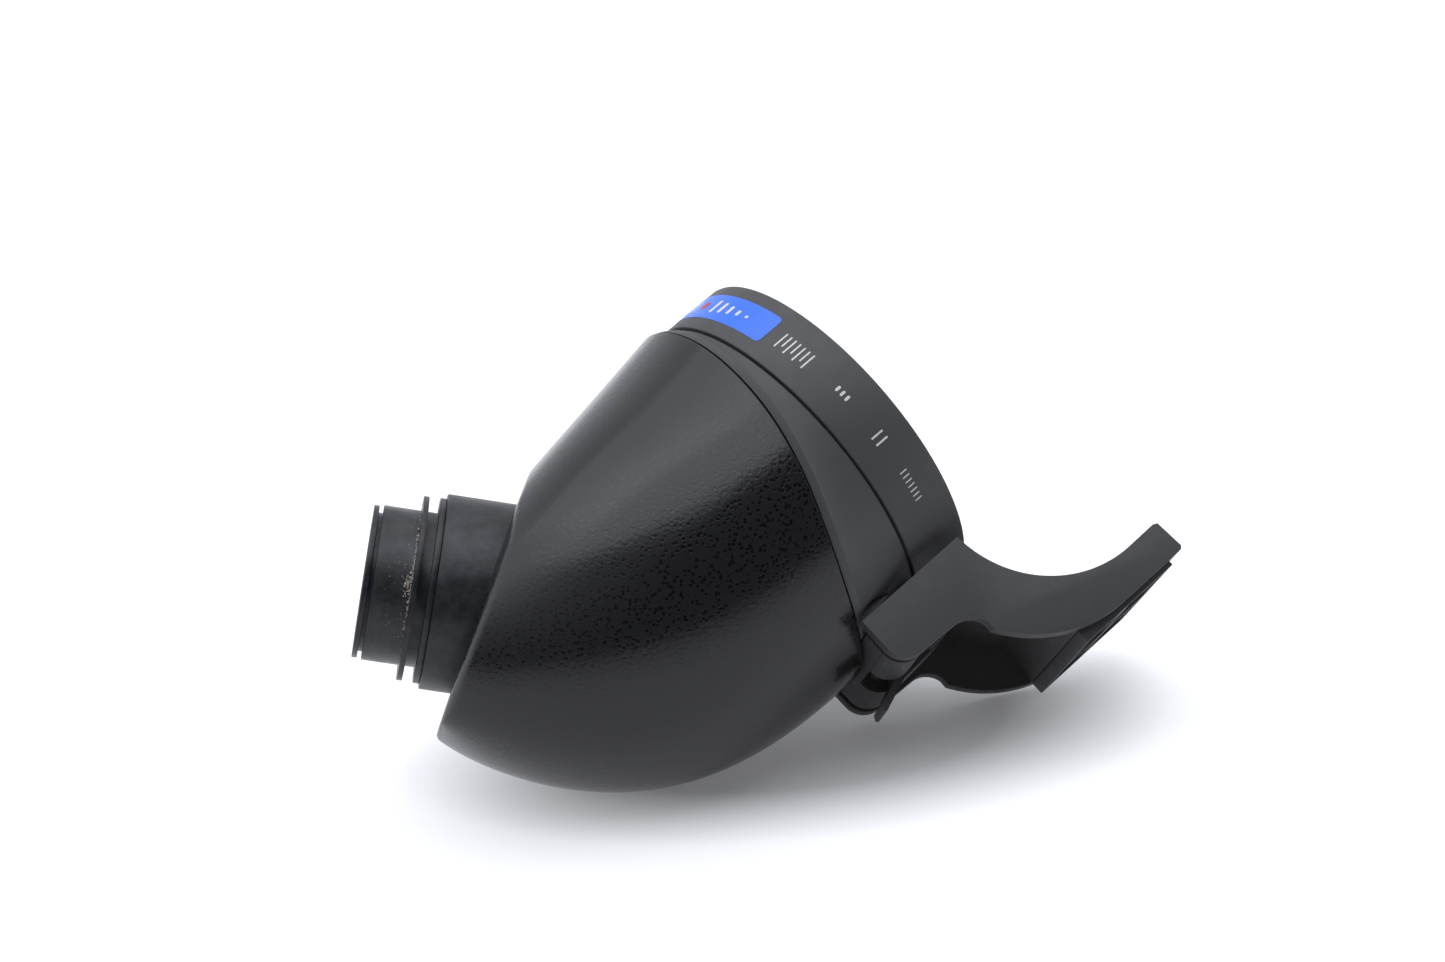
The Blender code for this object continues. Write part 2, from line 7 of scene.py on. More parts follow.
import bmesh
import bpy
import numpy as np
from mathutils import Matrix, Vector


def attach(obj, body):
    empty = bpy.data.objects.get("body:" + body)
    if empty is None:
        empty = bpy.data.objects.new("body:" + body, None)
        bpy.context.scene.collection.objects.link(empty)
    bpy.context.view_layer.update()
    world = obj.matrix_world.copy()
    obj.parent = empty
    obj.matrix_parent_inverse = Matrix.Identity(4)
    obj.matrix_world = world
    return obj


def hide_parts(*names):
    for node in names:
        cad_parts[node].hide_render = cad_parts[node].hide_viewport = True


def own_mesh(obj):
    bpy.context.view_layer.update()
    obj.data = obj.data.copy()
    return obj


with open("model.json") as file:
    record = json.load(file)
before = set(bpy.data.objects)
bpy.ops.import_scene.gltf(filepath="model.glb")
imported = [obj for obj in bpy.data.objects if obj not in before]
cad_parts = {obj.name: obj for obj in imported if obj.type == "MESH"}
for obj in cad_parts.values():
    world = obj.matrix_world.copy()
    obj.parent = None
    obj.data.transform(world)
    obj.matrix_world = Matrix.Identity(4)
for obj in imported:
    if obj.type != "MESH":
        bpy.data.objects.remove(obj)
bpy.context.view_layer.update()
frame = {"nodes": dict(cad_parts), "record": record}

MM = 0.001

# The optical frame of the CAD: mount axis +X with the ring's front at x = 0, use-up +Z, millimetres
REST_UP = (0.380, -0.635, 0.673)
REST_RIGHT = (0.721, -0.146, -0.677)
HINGE = (-22.6, -36.6)

RING_R = 33.0
BODY_X = -12.4
BODY_R = 32.6
HOUSING_BORE = 28.0
SPIGOT_R = 29.8
SPIGOT_X = -9.3
TIP_X, TIP_Z = -89.4, 4.8
BELLY_X, BELLY_DROP, BELLY_POWER, BELLY_ROOT = -27.0, 40.1, 2.82, 0.714
TOP_X, TOP_Z, TOP_SLOPE = -15.0, 34.5, 0.165
SIDE_X, SIDE_R, SIDE_POWER, SIDE_ROOT = -28.0, 33.6, 2.28, 0.633
TIP_HALF_WIDTH = 5.0
UPPER_POWER = 0.87
WALL = 2.2
FACE_POINT = (-53.0, 26.0)
FACE_SLOPE = math.radians(29.2)
RIM_R = 2.1
SPLIT_Z = (40.0, 27.0, 16.0, 4.0, -6.0, -16.0, -25.0, -33.0, -42.0)
SPLIT_X = (-15.0, -15.0, -16.0, -18.0, -20.6, -23.8, -26.2, -27.3, -27.6)
SPLIT_HALF_GAP = 0.15
LEDGE_WIDTH, LEDGE_RISE, LEDGE_DROP = 1.25, 0.55, 0.3

EYE_CROSS_X = -52.64
EYE_TILT = math.radians(49.6)
# The eyepiece, as radii and as stations along its axis
BASE_R, BASE_BORE, BASE_FIT = 17.06, 14.2, 0.08
BASE_IN, BASE_OUT = 16.5, 32.4
BARREL_R, BARREL_BORE, BARREL_IN = 13.5, 11.4, 19.0
STEP_R, STEP_IN, STEP_OUT = 16.2, 32.45, 33.55
FLANGE_R, FLANGE_IN, FLANGE_OUT = 16.1, 35.45, 36.4
GROOVE_R, GROOVE_IN, GROOVE_OUT = 12.1, 42.95, 43.7
END_R, END_OUT = 13.3, 44.63

ARM_HALF_WIDTH, ARM_WALL = 20.0, 2.6
CRADLE, CRADLE_R, WEB = (18.0, -29.5), 21.8, 2.2
SOLE_CURVE, SOLE_CURVE_R = (10.5, -33.0), 24.7
TOE_X, TOE_TOP, TOE_BOTTOM = 25.3, -51.3, -57.7
# Half the rib along the arm's middle, and the hinge pin's hole
RIB_HALF, PIN_HOLE_R, PIN_HOLE_END = 0.8, 1.9, 18.9
KNUCKLE_R = 4.2
PLATE_X, PLATE_Z = (-26.9, -3.9), -30.3
# The pockets of the foot's tray, across
POCKET_START, POCKET_END = 0.5, 16.3
# The housing's pad for the hinge, and the notches that the arm's side plates swing through
PAD_HALF, PAD_Z = 16.8, -31.9
NOTCH_END, NOTCH_WIDTH, NOTCH_Z = 21.0, 4.3, -30.1
PLATE_SWING_R = 8.0


def rest_frame():
    """Optical frame (metres) to world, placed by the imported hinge."""
    up = Vector(REST_UP).normalized()
    right = Vector(REST_RIGHT)
    right = (right - up * right.dot(up)).normalized()
    turn = Matrix((right, up.cross(right), up))
    joints = frame["record"]["behaviour"]["joints"]
    hinge = next(j for j in joints if j["name"] == "arm_hinge")["pos_m"]
    shift = Vector(hinge) - turn @ (Vector((HINGE[0], 0, HINGE[1])) * MM)
    return Matrix.Translation(shift) @ turn.to_4x4()


REST = rest_frame()

# ---------------------------------------------------------------- materials


class Nodes:
    """A small builder for one Principled material."""

    def __init__(self, name):
        self.mat = bpy.data.materials.new(name)
        self.mat.use_nodes = True
        self.tree = self.mat.node_tree
        self.shader = self.tree.nodes["Principled BSDF"]
        self.object = self.new("ShaderNodeTexCoord").outputs["Object"]

    def new(self, kind, **settings):
        node = self.tree.nodes.new(kind)
        for key, value in settings.items():
            setattr(node, key, value)
        return node

    def link(self, source, target):
        self.tree.links.new(source, target)

    def set(self, **values):
        for key, value in values.items():
            self.shader.inputs[key.replace("_", " ")].default_value = value

    def noise(self, scale, detail=2.0, rough=0.5):
        node = self.new("ShaderNodeTexNoise")
        node.inputs["Scale"].default_value = scale
        node.inputs["Detail"].default_value = detail
        node.inputs["Roughness"].default_value = rough
        self.link(self.object, node.inputs["Vector"])
        return node.outputs["Fac"]

    def cells(self, scale):
        node = self.new("ShaderNodeTexVoronoi")
        node.inputs["Scale"].default_value = scale
        self.link(self.object, node.inputs["Vector"])
        return node

    def ramp(self, source, low, high, out_low=0.0, out_high=1.0):
        node = self.new("ShaderNodeMapRange", clamp=True)
        for key, value in zip(("From Min", "From Max", "To Min", "To Max"), (low, high, out_low, out_high)):
            node.inputs[key].default_value = value
        self.link(source, node.inputs["Value"])
        return node.outputs["Result"]

    def math(self, kind, a, b=None):
        node = self.new("ShaderNodeMath", operation=kind)
        for socket, value in zip(node.inputs, (a, b)):
            if value is None:
                continue
            if isinstance(value, (int, float)):
                socket.default_value = value
            else:
                self.link(value, socket)
        return node.outputs["Value"]

    def mix(self, factor, a, b):
        node = self.new("ShaderNodeMix", data_type="RGBA")
        for socket, value in ((node.inputs[0], factor), (node.inputs[6], a), (node.inputs[7], b)):
            if isinstance(value, (int, float)):
                socket.default_value = value
            elif isinstance(value, tuple):
                socket.default_value = (*value, 1.0)
            else:
                self.link(value, socket)
        return node.outputs[2]

    def bump(self, height, distance, strength=1.0):
        node = self.new("ShaderNodeBump")
        node.inputs["Distance"].default_value = distance
        node.inputs["Strength"].default_value = strength
        self.link(height, node.inputs["Height"])
        self.link(node.outputs["Normal"], self.shader.inputs["Normal"])

    def color(self, source):
        self.link(source, self.shader.inputs["Base Color"])

    def roughness(self, source):
        self.link(source, self.shader.inputs["Roughness"])

    def dust(self, amount, scale=260.0):
        """Sparse pale specks: a mask of small dots in a few random cells."""
        cell = self.cells(scale)
        picked = self.new("ShaderNodeSeparateColor")
        self.link(cell.outputs["Color"], picked.inputs["Color"])
        chosen = self.math("GREATER_THAN", picked.outputs["Red"], 1.0 - amount)
        size = self.ramp(picked.outputs["Green"], 0, 1, 0.015, 0.06)
        dot = self.math("LESS_THAN", cell.outputs["Distance"], size)
        return self.math("MULTIPLY", chosen, dot)


def paint_material():
    n = Nodes("orange_peel_paint")
    n.set(Metallic=0.0, IOR=1.5)
    ragged = n.math("MULTIPLY", n.noise(2600, 2), 0.4)
    speck = n.ramp(n.math("ADD", n.cells(1150).outputs["Distance"], ragged), 0.58, 0.53)
    base = n.mix(n.noise(60, 3), (0.0086, 0.0088, 0.0091), (0.0102, 0.0104, 0.0107))
    base = n.mix(speck, base, (0.0003, 0.0003, 0.0003))
    n.color(n.mix(n.dust(0.012), base, (0.20, 0.20, 0.19)))
    n.link(n.ramp(speck, 0.0, 1.0, 0.35, 0.43), n.shader.inputs["Specular IOR Level"])
    n.roughness(n.ramp(speck, 0.0, 1.0, 0.19, 0.14))
    n.bump(n.math("SUBTRACT", n.noise(1500, 2.0, 0.5), n.math("MULTIPLY", speck, 0.3)), 0.00003, 1.0)
    return n.mat


def satin_material():
    n = Nodes("satin_black_ring")
    n.set(Metallic=0.0, IOR=1.5, Specular_IOR_Level=0.38)
    base = n.mix(n.noise(90, 3), (0.0410, 0.0415, 0.0420), (0.0470, 0.0475, 0.0480))
    n.color(n.mix(n.dust(0.02), base, (0.16, 0.16, 0.15)))
    n.roughness(n.ramp(n.noise(300, 3), 0.3, 0.7, 0.48, 0.58))
    blister = n.ramp(n.cells(520).outputs["Distance"], 0.0, 0.22, 1.0, 0.0)
    patch = n.ramp(n.noise(70, 1), 0.52, 0.66)
    fine = n.noise(4200, 2)
    n.bump(n.math("ADD", n.math("MULTIPLY", fine, 0.35), n.math("MULTIPLY", blister, patch)), 0.00002, 1.0)
    return n.mat


def anodised_material():
    n = Nodes("anodised_barrel")
    n.set(Metallic=0.2, IOR=1.5, Specular_IOR_Level=0.38)
    stain = n.ramp(n.noise(420, 6, 0.65), 0.36, 0.64)
    base = n.mix(stain, (0.0060, 0.0066, 0.0080), (0.0190, 0.0202, 0.0240))
    n.color(n.mix(n.dust(0.12, 420), base, (0.42, 0.42, 0.40)))
    n.roughness(n.ramp(n.noise(240, 4), 0.3, 0.7, 0.30, 0.46))
    n.bump(n.noise(2200, 3), 0.000025, 1.0)
    return n.mat


def plastic_material():
    n = Nodes("moulded_plastic")
    n.set(Metallic=0.0, IOR=1.48, Specular_IOR_Level=0.40)
    base = n.mix(n.noise(120, 3), (0.0320, 0.0322, 0.0328), (0.0380, 0.0382, 0.0388))
    n.color(n.mix(n.dust(0.03, 220), base, (0.24, 0.24, 0.23)))
    n.roughness(n.ramp(n.noise(400, 2), 0.3, 0.7, 0.46, 0.56))
    n.bump(n.noise(5200, 2), 0.00003, 1.0)
    return n.mat


def rubber_material():
    n = Nodes("foot_rubber")
    n.set(Metallic=0.0, IOR=1.45, Specular_IOR_Level=0.3)
    n.color(n.mix(n.noise(160, 4), (0.006, 0.006, 0.006), (0.012, 0.012, 0.011)))
    n.roughness(n.ramp(n.noise(600, 3), 0.3, 0.7, 0.70, 0.85))
    n.bump(n.noise(2600, 3), 0.00004, 1.0)
    return n.mat


def metal_material(name, low, high, rough, scale):
    n = Nodes(name)
    n.set(Metallic=1.0)
    n.color(n.mix(n.noise(150, 4), (low, low, low * 1.01), (high, high, high * 1.01)))
    n.roughness(n.ramp(n.noise(scale, 3), 0.3, 0.7, rough, rough + 0.12))
    n.bump(n.noise(scale * 3, 2), 0.000006, 1.0)
    return n.mat


def flock_material():
    n = Nodes("dead_black")
    n.set(Metallic=0.0, IOR=1.4)
    n.color(n.mix(n.noise(300, 2), (0.0025, 0.0025, 0.0025), (0.005, 0.005, 0.005)))
    n.roughness(n.ramp(n.noise(500, 2), 0.3, 0.7, 0.85, 0.95))
    n.bump(n.noise(6000, 2), 0.00003, 1.0)
    return n.mat


def glass_material():
    n = Nodes("coated_glass")
    n.set(Metallic=0.0, IOR=1.52, Transmission_Weight=1.0)
    n.color(n.mix(n.noise(40, 1), (0.86, 0.93, 0.90), (0.93, 0.97, 0.95)))
    n.roughness(n.ramp(n.noise(200, 2), 0.3, 0.7, 0.0, 0.004))
    return n.mat


def label_material():
    n = Nodes("printed_blue_film")
    n.set(Metallic=0.0, IOR=1.5)
    n.color(n.mix(n.noise(500, 3), (0.011, 0.112, 0.60), (0.014, 0.130, 0.66)))
    n.roughness(n.ramp(n.noise(350, 2), 0.3, 0.7, 0.30, 0.40))
    n.bump(n.noise(2500, 2), 0.000006, 1.0)
    return n.mat


def print_material(name, color):
    n = Nodes(name)
    n.set(Metallic=0.0, IOR=1.5)
    worn = tuple(c * 0.8 for c in color)
    n.color(n.mix(n.ramp(n.noise(1500, 4), 0.35, 0.6), worn, color))
    n.roughness(n.ramp(n.noise(900, 2), 0.3, 0.7, 0.40, 0.55))
    return n.mat


def glue_material():
    n = Nodes("dried_glue")
    n.set(Metallic=0.0, IOR=1.45, Subsurface_Weight=0.15, Subsurface_Scale=0.0004)
    n.color(n.mix(n.noise(1800, 4), (0.17, 0.15, 0.12), (0.40, 0.38, 0.34)))
    n.roughness(n.ramp(n.noise(1400, 3), 0.3, 0.7, 0.45, 0.75))
    n.bump(n.noise(3500, 3), 0.00006, 1.0)
    return n.mat


PAINT = paint_material()
SATIN = satin_material()
ANODISED = anodised_material()
PLASTIC = plastic_material()
RUBBER = rubber_material()
STEEL = metal_material("turned_steel", 0.26, 0.34, 0.26, 900)
CHROME = metal_material("satin_chrome", 0.36, 0.42, 0.14, 700)
FLOCK = flock_material()
GLASS = glass_material()
LABEL = label_material()
WHITE_PRINT = print_material("white_print", (0.58, 0.57, 0.56))
RED_PRINT = print_material("red_print", (0.44, 0.020, 0.020))
GLUE = glue_material()

SLOT_MATERIALS = {
    "paint": PAINT,
    "satin": SATIN,
    "plastic": PLASTIC,
    "steel": STEEL,
    "chrome": CHROME,
    "flock": FLOCK,
    "glass": GLASS,
    "rubber": RUBBER,
    "label": LABEL,
}

for part in frame["record"]["subparts"]:
    node = frame["nodes"][part["node"]]
    finish = SLOT_MATERIALS[part["material_slot"]]
    if part["node"].startswith(("eyepiece", "eye_", "relay")) and part["material_slot"] == "satin":
        finish = ANODISED
    node.data.materials.clear()
    node.data.materials.append(finish)

# ---------------------------------------------------------------- mesh helpers


def finish_piece(name, mesh, mat, body, stands_for=(), angle=32):
    """Moves a mesh built in optical metres to the world and rides it on a body."""
    mesh.transform(REST)
    mesh.materials.append(mat)
    mesh.shade_smooth()
    mesh.set_sharp_from_angle(angle=math.radians(angle))
    obj = bpy.data.objects.new(name, mesh)
    bpy.context.scene.collection.objects.link(obj)
    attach(obj, body)
    if stands_for:
        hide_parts(*stands_for)
    return obj


def to_mesh(bm, name):
    bmesh.ops.remove_doubles(bm, verts=bm.verts, dist=1e-7)
    bmesh.ops.recalc_face_normals(bm, faces=bm.faces)
    mesh = bpy.data.meshes.new(name)
    bm.to_mesh(mesh)
    bm.free()
    return mesh


def carve(mesh, cutters, bevel=0.0, segments=2):
    """Cuts other meshes out, then rounds what is left sharp. All are built in optical metres."""
    obj = bpy.data.objects.new("carving", mesh)
    bpy.context.scene.collection.objects.link(obj)
    helpers = []
    for cutter in cutters:
        helper = bpy.data.objects.new("helper", cutter)
        bpy.context.scene.collection.objects.link(helper)
        helpers.append(helper)
        mod = obj.modifiers.new("carve", "BOOLEAN")
        mod.operation = "DIFFERENCE"
        mod.solver = "EXACT"
        mod.object = helper
    if bevel:
        mod = obj.modifiers.new("round", "BEVEL")
        mod.width = bevel * MM
        mod.segments = segments
        mod.limit_method = "ANGLE"
        mod.angle_limit = math.radians(35)
        mod.use_clamp_overlap = True
        mod.miter_outer = "MITER_ARC"
    graph = bpy.context.evaluated_depsgraph_get()
    made = bpy.data.meshes.new_from_object(obj.evaluated_get(graph))
    for gone in [obj] + helpers:
        bpy.data.objects.remove(gone, do_unlink=True)
    made.materials.clear()
    return made


def strip(rows, ends):
    """A surface through rows of as many points, each a closed ring: its ends meet or are capped."""
    bm = bmesh.new()
    made = [[bm.verts.new(Vector(p) * MM) for p in row] for row in rows]
    count = len(made[0])
    pairs = list(zip(made, made[1:]))
    if ends == "loop":
        pairs.append((made[-1], made[0]))
    for a, b in pairs:
        for i in range(count):
            j = (i + 1) % count
            bm.faces.new((a[i], a[j], b[j], b[i]))
    if ends == "caps":
        bm.faces.new(made[0][::-1])
        bm.faces.new(made[-1])
    return bm


def rounded(profile, radius, steps=2):
    """Replaces each corner of a closed (along, radius) profile with a small arc."""
    out = []
    count = len(profile)
    for i, point in enumerate(profile):
        p = Vector(point)
        a = Vector(profile[i - 1]) - p
        b = Vector(profile[(i + 1) % count]) - p
        r = min(radius, a.length * 0.4, b.length * 0.4)
        a, b = p + a.normalized() * r, p + b.normalized() * r
        for k in range(steps + 1):
            t = k / steps
            out.append(a * (1 - t) ** 2 + p * 2 * t * (1 - t) + b * t**2)
    return [(q.x, q.y) for q in out]


def lathe(profile, segments, radius):
    """A closed profile off the axis, turned about +X with rounded corners."""
    angles = [2 * math.pi * i / segments for i in range(segments)]
    rows = [[(x, r * math.cos(t), r * math.sin(t)) for t in angles] for x, r in rounded(profile, radius)]
    return strip(rows, "loop")


def prism_mesh(outline, y0, y1, name="block"):
    """A block along Y over an outline of (x, z) points."""
    rows = [[(x, y, z) for x, z in outline] for y in (y0, y1)]
    return to_mesh(strip(rows, "caps"), name)


def box_mesh(low, high):
    corners = ((low[0], low[2]), (high[0], low[2]), (high[0], high[2]), (low[0], high[2]))
    return prism_mesh(corners, low[1], high[1], "box")


def rod_mesh(start, end, radius, matrix, segments=48):
    angles = [2 * math.pi * i / segments for i in range(segments)]
    rows = [[(x, radius * math.cos(t), radius * math.sin(t)) for t in angles] for x in (start, end)]
    bm = strip(rows, "caps")
    bmesh.ops.transform(bm, matrix=matrix, verts=bm.verts)
    return to_mesh(bm, "rod")


def arc(center, radius, start, end, steps):
    turns = [math.radians(start + (end - start) * i / steps) for i in range(steps + 1)]
    return [(center[0] + radius * math.cos(t), center[1] + radius * math.sin(t)) for t in turns]


def across(x, z):
    return Matrix.Translation((x * MM, 0, z * MM)) @ Matrix.Rotation(math.radians(90), 4, "Z")


EYE = Matrix.Translation((EYE_CROSS_X * MM, 0, 0)) @ Matrix.Rotation(EYE_TILT - math.pi, 4, "Y")

# ---------------------------------------------------------------- body surface


def blend(a, b, t):
    t = np.clip(t, 0.0, 1.0)
    return a + (b - a) * t * t * (3 - 2 * t)


def belly(x):
    share = np.clip((x - BELLY_X) / (BODY_X - BELLY_X), 0, None)
    front = (TIP_Z - BELLY_DROP) + (BELLY_DROP - TIP_Z - BODY_R) * share**1.5
    s = np.clip((BELLY_X - x) / (BELLY_X - TIP_X), 0, 1)
    return np.where(x > BELLY_X, front, TIP_Z - BELLY_DROP * (1 - s**BELLY_POWER) ** BELLY_ROOT)


def top(x):
    rise = blend(BODY_R, TOP_Z, (BODY_X - x) / (BODY_X - TOP_X))
    return rise - TOP_SLOPE * np.maximum(0.0, TOP_X - x)


def side(x):
    s = np.clip((SIDE_X - x) / (SIDE_X - TIP_X), 0, 1)
    rear = TIP_HALF_WIDTH + (SIDE_R - TIP_HALF_WIDTH) * (1 - s**SIDE_POWER) ** SIDE_ROOT
    return np.where(x > SIDE_X, blend(SIDE_R, BODY_R, (x - SIDE_X) / (BODY_X - SIDE_X)), rear)


def widest(x):
    return blend(0.0, TIP_Z + 1.0, (-45.0 - x) / (-45.0 - TIP_X))


def face_z(x):
    return FACE_POINT[1] + (x - FACE_POINT[0]) * math.tan(FACE_SLOPE)


def section_field(x, y, z):
    """How far a point lies outside the section at x, along the ray from the section's centre."""
    mid = widest(x)
    upper = z > mid
    half = side(x)
    lift = np.where(upper, top(x) - mid, mid - belly(x))
    power = np.where(upper, 2 / blend(1.0, UPPER_POWER, (-20 - x) / 30), 2.0)
    share = (np.abs(y / half) ** power + np.abs((z - mid) / lift) ** power) ** (1 / power)
    return np.hypot(y, z - mid) * (1 - 1 / np.maximum(share, 1e-6))


def body_field(x, y, z, with_face=True):
    """Roughly the distance outside the body, negative inside, with the face's rim rounded."""
    hull = section_field(x, y, z)
    if not with_face:
        return hull
    step = 0.05
    behind = section_field(np.maximum(x - step, TIP_X), y, z)
    lean = (section_field(x + step, y, z) - behind) / (2 * step)
    hull = hull / np.sqrt(1 + lean**2)
    plane = (z - face_z(x)) * math.cos(FACE_SLOPE)
    radius = RIM_R * blend(0.1, 1.0, (np.abs(y) - 2.0) / 12.0) * blend(0.15, 1.0, (-56.0 - x) / 9.0)
    a, b = hull + radius, plane + radius
    rim = np.hypot(np.maximum(a, 0), np.maximum(b, 0)) - radius
    return np.where((a > 0) & (b > 0), rim, np.maximum(hull, plane))


def middle(x):
    return 0.5 * (belly(x) + np.minimum(top(x), face_z(x)))


def cast(x, angle, depth, with_face=True):
    """Points at a depth under the body's surface, along rays in the section at x."""
    low, high = np.zeros_like(x), np.full_like(x, 60.0)
    c = middle(x)
    for _ in range(34):
        r = 0.5 * (low + high)
        inside = body_field(x, r * np.cos(angle), c + r * np.sin(angle), with_face) < -depth
        low, high = np.where(inside, r, low), np.where(inside, high, r)
    r = 0.5 * (low + high)
    return np.stack([x, r * np.cos(angle), c + r * np.sin(angle)], -1)


def smooth_curve(z):
    """The split line's station for a height, through its points with a smooth cubic."""
    zs, xs = np.array(SPLIT_Z)[::-1], np.array(SPLIT_X)[::-1]
    slopes = np.gradient(xs, zs)
    z = np.clip(z, zs[0], zs[-1])
    i = np.clip(np.searchsorted(zs, z) - 1, 0, len(zs) - 2)
    h = zs[i + 1] - zs[i]
    t = (z - zs[i]) / h
    ends = (2 * t**3 - 3 * t**2 + 1) * xs[i] + (3 * t**2 - 2 * t**3) * xs[i + 1]
    return ends + h * ((t**3 - 2 * t**2 + t) * slopes[i] + (t**3 - t**2) * slopes[i + 1])


def split_station(angle, shift):
    x = np.full_like(angle, -18.0)
    for _ in range(12):
        x = smooth_curve(cast(x, angle, 0.0)[:, 2]) + shift
    return x


def last_station(depth):
    """How far towards the tip the body still holds a section at this depth."""
    xs = np.linspace(-70.0, TIP_X, 1500)
    low, room = belly(xs), face_z(xs) - belly(xs)
    deepest = np.min([body_field(xs, 0 * xs, low + k * room) for k in np.linspace(0.05, 0.95, 19)], axis=0)
    good = xs[deepest < -depth - 0.02]
    return float(good.min())


SEGMENTS = 240
ANGLES = 2 * np.pi * np.arange(SEGMENTS) / SEGMENTS


def closed_shell():
    """Outer skin, rounded front edge and inner skin as one closed surface."""
    seam = split_station(ANGLES, -SPLIT_HALF_GAP)
    edge = 0.3
    rows = []
    inner_end = last_station(WALL)
    inner_rows, outer_rows = 40, 130
    for i in range(inner_rows, -1, -1):
        s = math.sin(math.pi / 2 * i / inner_rows)
        rows.append(cast(seam + (inner_end - seam) * s, ANGLES, WALL))
    rows.append(cast(seam, ANGLES, 1.2))
    for turn in (0.0, 0.33, 0.66):
        t = math.pi / 2 * turn
        rows.append(cast(seam - edge * (1 - math.cos(t)), ANGLES, edge * (1 - math.sin(t))))
    start = seam - edge
    end = last_station(0.0)
    for i in range(outer_rows + 1):
        s = math.sin(math.pi / 2 * i / outer_rows)
        rows.append(cast(start + (end - start) * s, ANGLES, 0.0))
    return to_mesh(strip(rows, "caps"), "shell")


def field_normals(mesh, field):
    """Gives loops on the smooth outer surface the field's own normals, and leaves the rest by angle."""
    count = len(mesh.vertices)
    co = np.empty(count * 3)
    mesh.vertices.foreach_get("co", co)
    co = co.reshape(-1, 3) / MM
    h = 0.02
    grad = np.stack(
        [
            field(co[:, 0] + h * (k == 0), co[:, 1] + h * (k == 1), co[:, 2] + h * (k == 2))
            - field(co[:, 0] - h * (k == 0), co[:, 1] - h * (k == 1), co[:, 2] - h * (k == 2))
            for k in range(3)
        ],
        -1,
    )
    grad /= np.maximum(np.linalg.norm(grad, axis=1, keepdims=True), 1e-12)
    on = np.abs(field(co[:, 0], co[:, 1], co[:, 2])) < 0.02
    mesh.shade_smooth()
    mesh.set_sharp_from_angle(angle=math.radians(32))
    corner = np.empty(len(mesh.loops) * 3)
    mesh.corner_normals.foreach_get("vector", corner)
    corner = corner.reshape(-1, 3)
    index = np.empty(len(mesh.loops), int)
    mesh.loops.foreach_get("vertex_index", index)
    use = on[index] & ((grad[index] * corner).sum(1) > 0.85)
    corner[use] = grad[index][use]
    return corner


def build_rear_shell():
    bore = rod_mesh(5, 60, BASE_R + BASE_FIT, EYE, 160)
    mesh = carve(closed_shell(), [bore])
    normals = field_normals(mesh, body_field)
    finish_piece("rear_shell_skin", mesh, PAINT, "body", ("rear_shell",))
    turn = np.array(REST.to_3x3())
    mesh.normals_split_custom_set((normals @ turn.T).tolist())


def build_housing():
    seam = split_station(ANGLES, SPLIT_HALF_GAP)
    edge = 0.25
    front = np.full_like(ANGLES, BODY_X)
    c, s = np.cos(ANGLES), np.sin(ANGLES)

    def ring(x, radius):
        x = x if isinstance(x, np.ndarray) else np.full_like(ANGLES, x)
        return np.stack([x, radius * c, radius * s], -1)

    rows = [ring(seam, HOUSING_BORE), ring(SPIGOT_X, HOUSING_BORE)]
    rows += [ring(SPIGOT_X, SPIGOT_R), ring(BODY_X, SPIGOT_R)]
    for turn in (0.0, 0.5, 1.0):
        t = math.pi / 2 * turn
        rows.append(cast(front - edge * (1 - math.cos(t)), ANGLES, edge * (1 - math.sin(t)), False))
    start = front - edge
    ledge = np.minimum(seam + LEDGE_WIDTH, start - 0.8)
    rise = LEDGE_RISE * blend(0.35, 1.0, (start - ledge - 1.0) / 5.0) * blend(0.0, 1.0, (s + 0.92) / 0.25)
    for i in range(1, 25):
        share = i / 24
        rows.append(cast(start + (ledge - start) * share, ANGLES, -rise * share**4, False))
    for share in (0.06, 0.5, 0.94, 1.0):
        rows.append(cast(ledge + (seam - ledge) * share, ANGLES, (LEDGE_DROP + rise) * share - rise, False))
    mesh = to_mesh(strip(rows, "loop"), "housing")
    behind, below, ahead = -40, -60, BODY_X + 0.05
    cutters = [box_mesh((behind, -PAD_HALF, below), (ahead, PAD_HALF, PAD_Z))]
    for y in (-NOTCH_END, NOTCH_END - NOTCH_WIDTH):
        cutters.append(box_mesh((behind, y, below), (ahead, y + NOTCH_WIDTH, NOTCH_Z)))
        cutters.append(rod_mesh(y, y + NOTCH_WIDTH, PLATE_SWING_R, across(*HINGE), 96))
    mesh = carve(mesh, cutters)
    finish_piece("front_housing_skin", mesh, SATIN, "body", ("front_housing",), 12)


# ---------------------------------------------------------------- eyepiece


BASE_PROFILE = (
    (BASE_IN, BASE_BORE),
    (BASE_IN, BASE_R),
    (BASE_OUT, BASE_R),
    (BASE_OUT, BASE_BORE),
)
BARREL_PROFILE = (
    (BARREL_IN, BARREL_BORE),
    (BARREL_IN, BARREL_R + 0.3),
    (STEP_IN, BARREL_R + 0.3),
    (STEP_IN, STEP_R),
    (STEP_OUT, STEP_R),
    (STEP_OUT, BARREL_R),
    (FLANGE_IN, BARREL_R),
    (FLANGE_IN, FLANGE_R),
    (FLANGE_OUT, FLANGE_R),
    (FLANGE_OUT, BARREL_R),
    (GROOVE_IN, BARREL_R),
    (GROOVE_IN, GROOVE_R),
    (GROOVE_OUT, GROOVE_R),
    (GROOVE_OUT, END_R),
    (END_OUT, END_R),
    (END_OUT, BARREL_BORE),
)


